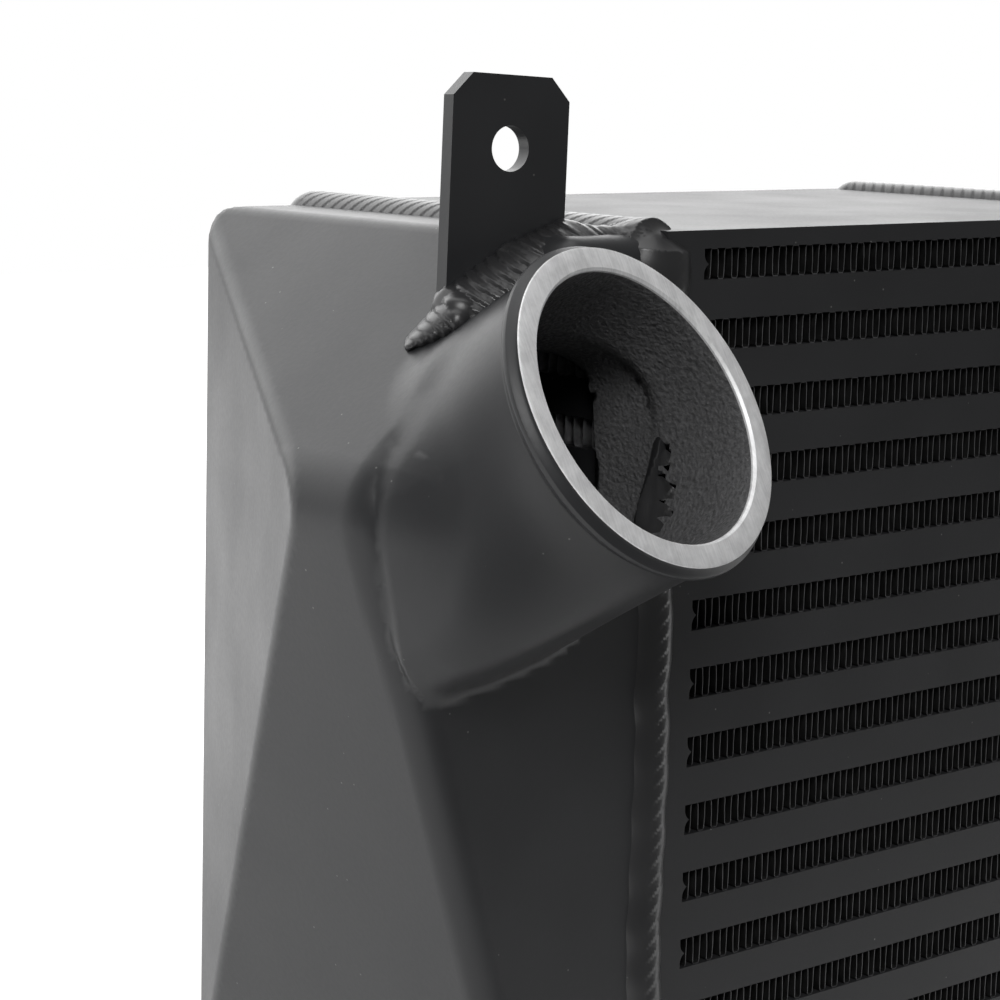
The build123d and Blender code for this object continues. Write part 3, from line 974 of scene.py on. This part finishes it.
class WeldForm:
    """Signed distance of the left tank's seam bead, corner blob and tab weld."""
    BURY = 0.0017                            # how deep the beads reach into what they join
    TRIM = 0.00015                           # keeps the back seam's ripples inside its height

    def __init__(self, core, tank, tab, weld):
        self.weld = weld
        long, self.high, _ = core_plan(core)
        self.left, self.front, self.back = -long / 2, -core.depth / 2, core.depth / 2
        self.radius = (weld.half_width ** 2 + weld.rise ** 2) / (2 * weld.rise)
        self.sink = self.radius - weld.rise
        foot = np.array([self.left - tab.out, self.front + tab.back, self.high - tank.step])
        half = tab.width / 2
        self.run = [(foot + (-half - 0.0055, 0.006, -0.0208), 0.0042, 0.0013),
                    (foot + (-half - 0.0005, -0.0025, -0.0148), 0.0075, 0.0046),
                    (foot + (-0.0006, -0.0064, -0.0070), 0.0085, 0.0048),
                    (foot + (half - 0.0025, -0.0068, -0.0026), 0.0075, 0.0048),
                    (foot + (half + 0.0035, -0.0075, -0.0012), 0.0040, 0.0026),
                    (foot + (half + 0.0100, -0.0120, 0.0), 0.0020, 0.0015)]
        self.face = np.array([0.0, -0.36, 0.933])

    def ripples(self, along, across, pitch, height):
        """Overlapping crescents left by the torch."""
        turn = 2 * math.pi * (along + across) / pitch
        return height * 0.5 * np.sin(turn + 0.7 * np.sin(turn))

    def distance(self, p):
        x, y, z = p
        weld = self.weld
        front, back, top = self.front + self.sink, self.back - self.sink, self.high - self.sink
        wander = 0.00035 * np.sin(z * 190 + np.sin(z * 71) * 2) + 0.0002 * np.sin(z * 530)
        across = (x - self.left) / weld.half_width
        upright = np.minimum(np.hypot(x - self.left - wander, y - front),
                             np.hypot(x - self.left, y - back) + self.TRIM) - self.radius
        fade = np.clip(0.4 + across, 0.0, 1.0) * np.clip((0.55 - across) / 0.4, 0.0, 1.0)
        upright = upright - fade * self.ripples(z, -0.0035 * across + 0.0011 * across ** 2,
                                                weld.seam_pitch, weld.seam_ripple)
        upright = np.maximum(upright, z - top)
        level = np.hypot(x - self.left, z - top) - self.radius
        level = level - self.ripples(y, 0.0035 * across, weld.seam_pitch, 0.4 * weld.seam_ripple)
        level = np.maximum(level, np.maximum(front - y, y - back))
        turn = np.hypot(np.hypot(x - self.left, y - back), z - top) - self.radius
        blob = np.sqrt(((x - self.left + 0.001) / 1.15) ** 2 + (y - front) ** 2
                       + ((z - top + 0.0040) / 1.2) ** 2)
        blob = blob - weld.blob
        bead = np.minimum(np.minimum(upright, level), turn)
        bead = joined(bead, blob, 0.003)
        tab = np.full_like(bead, 1.0)
        travelled = 0.0
        for (a, wide_a, high_a), (b, wide_b, high_b) in zip(self.run, self.run[1:]):
            step = b - a
            size = np.linalg.norm(step)
            step = step / size
            face = self.face - step * self.face.dot(step)
            face /= np.linalg.norm(face)
            edge = np.cross(step, face)
            q = [c - o for c, o in zip(p, a)]
            share = np.clip(sum(c * s for c, s in zip(q, step)) / size, 0, 1)
            rest = [c - s * size * share for c, s in zip(q, step)]
            wide = wide_a + (wide_b - wide_a) * share
            high = high_a + (high_b - high_a) * share
            u = sum(c * s for c, s in zip(rest, edge)) / wide
            v = sum(c * s for c, s in zip(rest, face)) / high
            w = sum(c * s for c, s in zip(rest, step)) / high
            away = (np.sqrt(u * u + v * v + w * w) - 1) * high
            tab = np.minimum(tab, away - self.ripples(
                travelled + share * size, -0.0028 * u * u, weld.tab_pitch,
                weld.tab_ripple * np.clip(high / 0.004, 0.3, 1)))
            travelled += size
        return joined(bead, tab, 0.0015)


class INTERCOOLER_OT_welds(bpy.types.Operator):
    """Lay the rippled weld beads along the seams and round the tabs' feet"""
    bl_idname = "intercooler.welds"
    bl_label = "Welds"

    def execute(self, context):
        given = settings(context)
        form = WeldForm(given.core, given.tank, given.tab, given.weld)
        casting = TankForm(given.core, given.tank, given.neck)

        def shell(p):
            """The beads, sunk a little into what they join and hollow below that."""
            x, y, z = p
            core = np.maximum(np.maximum(form.left - x, form.front - y), z - form.high)
            core = np.maximum(core, y - form.back)
            body = np.minimum(core, casting.outside(p))
            bead = form.distance(p)
            return np.maximum(np.maximum(bead, -(body + form.BURY)), -z)

        lap = given.weld.cell * 1.5
        corner = form.high - 0.034
        inner, outer = form.left + 0.013, form.left - 0.010
        boxes = [((outer, form.front - 0.006, -0.002), (inner, form.front + 0.010, corner)),
                 ((outer, form.back - 0.010, -0.002), (inner, form.back + 0.006, corner)),
                 ((form.left - 0.054, form.front - 0.006, corner - lap),
                  (inner, form.front + 0.030, form.high + 0.006)),
                 ((outer, form.front + 0.030 - lap, corner - lap),
                  (inner, form.back + 0.006, form.high + 0.006))]
        built = [skin(shell, low, high, given.weld.cell) for low, high in boxes]
        points = np.concatenate([part[0] for part in built])
        normals = np.concatenate([part[2] for part in built])
        firsts = np.cumsum([0] + [len(part[0]) for part in built[:-1]])
        faces = np.concatenate([part[1] + first for part, first in zip(built, firsts)])
        finish = given.finish
        coat = coated("Weld coat", finish.weld_coat, finish.weld_roughness, 700.0, 0.00004,
                      0.3, 0.5)
        for name, side in SIDES:
            made, quads = mirrored(points, faces, side)
            turned = normals * np.array([side, 1.0, 1.0])
            new_piece(f"{name}_weld_beads", made, quads, [coat],
                      [f"{name}_weld"], normals=turned)
        return {"FINISHED"}


# Stage

def soft_light(name, place, target, size, power):
    data = bpy.data.lights.new(name, "AREA")
    data.shape = "RECTANGLE"
    data.size, data.size_y = size
    data.energy = power
    lamp = bpy.data.objects.new(name, data)
    lamp.location = place
    aim = Vector(target) - Vector(place)
    lamp.rotation_euler = aim.to_track_quat("-Z", "Y").to_euler()
    bpy.context.scene.collection.objects.link(lamp)


class INTERCOOLER_OT_stage(bpy.types.Operator):
    """Set out the pale floor, the soft light and the camera"""
    bl_idname = "intercooler.stage"
    bl_label = "Stage"

    def execute(self, context):
        stage = settings(context).stage
        self.lay_floor(stage)
        self.light_room(context, stage)
        self.place_camera(context, stage)
        return {"FINISHED"}

    def lay_floor(self, stage):
        corners = [(-2.2, -0.26, 0), (2.2, -0.26, 0), (2.2, 2.6, 0), (-2.2, 2.6, 0)]
        mesh = bpy.data.meshes.new("floor")
        mesh.from_pydata(corners, [], [(0, 1, 2, 3)])
        floor = bpy.data.objects.new("floor", mesh)
        floor.location = (0, 0, -0.0002)
        bpy.context.scene.collection.objects.link(floor)
        material, n, shader = new_material("Pale floor")
        shader.inputs["Base Color"].default_value = (*stage.floor_colour, 1)
        shader.inputs["Roughness"].default_value = 0.9
        shader.inputs["Specular IOR Level"].default_value = 0.1
        seen = n.add("ShaderNodeLightPath").outputs
        direct = n.maths("MAXIMUM", seen["Is Camera Ray"],
                         n.maths("MAXIMUM", seen["Is Glossy Ray"], seen["Is Transmission Ray"]))
        place = n.add("ShaderNodeNewGeometry").outputs["Position"]
        away = n.add("ShaderNodeVectorMath", {0: place}, operation="LENGTH").outputs["Value"]
        fade = n.remap(away, 0.25, 0.75, 0.3, 1.0)
        lift = n.add("ShaderNodeEmission", {"Color": (1, 1, 1, 1),
                                            "Strength": n.maths("MULTIPLY", direct, fade)})
        both = n.add("ShaderNodeAddShader", {0: shader.outputs[0], 1: lift.outputs[0]})
        out = next(node for node in n.tree.nodes if node.type == "OUTPUT_MATERIAL")
        n.tree.links.new(both.outputs[0], out.inputs["Surface"])
        mesh.materials.append(material)

    def light_room(self, context, stage):
        world = bpy.data.worlds.new("Studio")
        world.use_nodes = True
        context.scene.world = world
        n = Nodes(world.node_tree)
        n.tree.nodes.clear()
        way = n.add("ShaderNodeTexCoord").outputs["Generated"]
        parts = n.add("ShaderNodeSeparateXYZ", {0: way}).outputs
        behind = n.add("ShaderNodeMapRange", {"Value": parts[1], "From Min": 0.05, "From Max": 0.6,
                                              "To Min": stage.front_dim, "To Max": 1.0},
                       interpolation_type="SMOOTHSTEP").outputs[0]
        seen = n.add("ShaderNodeLightPath").outputs
        mirror_ray = n.maths("MAXIMUM", seen["Is Glossy Ray"], seen["Is Transmission Ray"])
        room = n.add("ShaderNodeMix", {"Factor": mirror_ray, "A": n.maths("MULTIPLY", behind, 0.7),
                                       "B": behind}, data_type="FLOAT").outputs["Result"]
        level = n.add("ShaderNodeMix", {"Factor": seen["Is Camera Ray"], "A": room, "B": 1.0},
                      data_type="FLOAT").outputs["Result"]
        sky = n.add("ShaderNodeBackground", {"Color": (1, 1, 1, 1), "Strength": level})
        n.add("ShaderNodeOutputWorld", {"Surface": sky.outputs[0]})
        for light in LIGHTS:
            soft_light(*light)

    def place_camera(self, context, stage):
        data = bpy.data.cameras.new("camera")
        data.sensor_width = 36.0
        data.lens = stage.focal_length
        data.clip_start = 0.01
        camera = bpy.data.objects.new("camera", data)
        right = Vector((0.73526513, -0.6773264, 0.02478176))
        down = Vector((-0.08554425, -0.12900835, -0.98794687))
        ahead = Vector((0.67235956, 0.72428295, -0.15279672))
        turn = Matrix((right, -down, -ahead)).transposed()
        camera.matrix_world = Matrix.Translation(stage.camera_place) @ turn.to_4x4()
        context.scene.collection.objects.link(camera)
        context.scene.camera = camera
        context.scene.view_settings.view_transform = "Standard"


class INTERCOOLER_PT_panel(bpy.types.Panel):
    """Sizes, finishes and pieces of the intercooler"""
    bl_label = "Intercooler"
    bl_idname = "INTERCOOLER_PT_panel"
    bl_space_type = "VIEW_3D"
    bl_region_type = "UI"
    bl_category = "Intercooler"

    def draw(self, context):
        for operator in PIECES:
            self.layout.operator(operator.bl_idname)
        for group in IntercoolerSettings.__annotations__:
            box = self.layout.box()
            box.label(text=group.capitalize())
            values = getattr(settings(context), group)
            for prop in type(values).__annotations__:
                box.prop(values, prop)


PIECES = (INTERCOOLER_OT_plates, INTERCOOLER_OT_fins, INTERCOOLER_OT_turbulators,
          INTERCOOLER_OT_tanks, INTERCOOLER_OT_mouths, INTERCOOLER_OT_tabs,
          INTERCOOLER_OT_welds, INTERCOOLER_OT_stage)
CLASSES = (CoreSizes, TankSizes, NeckSizes, TabSizes, WeldSizes, Finishes, StageSettings,
           IntercoolerSettings) + PIECES + (INTERCOOLER_PT_panel,)


def register():
    for cls in CLASSES:
        bpy.utils.register_class(cls)
    bpy.types.Scene.intercooler = bpy.props.PointerProperty(type=IntercoolerSettings)


def unregister():
    del bpy.types.Scene.intercooler
    for cls in reversed(CLASSES):
        bpy.utils.unregister_class(cls)


def main():
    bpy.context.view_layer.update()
    register()
    bpy.ops.intercooler.plates()
    bpy.ops.intercooler.fins()
    bpy.ops.intercooler.turbulators()
    bpy.ops.intercooler.tanks()
    bpy.ops.intercooler.mouths()
    bpy.ops.intercooler.tabs()
    bpy.ops.intercooler.welds()
    bpy.ops.intercooler.stage()


if __name__ == "__main__":
    main()
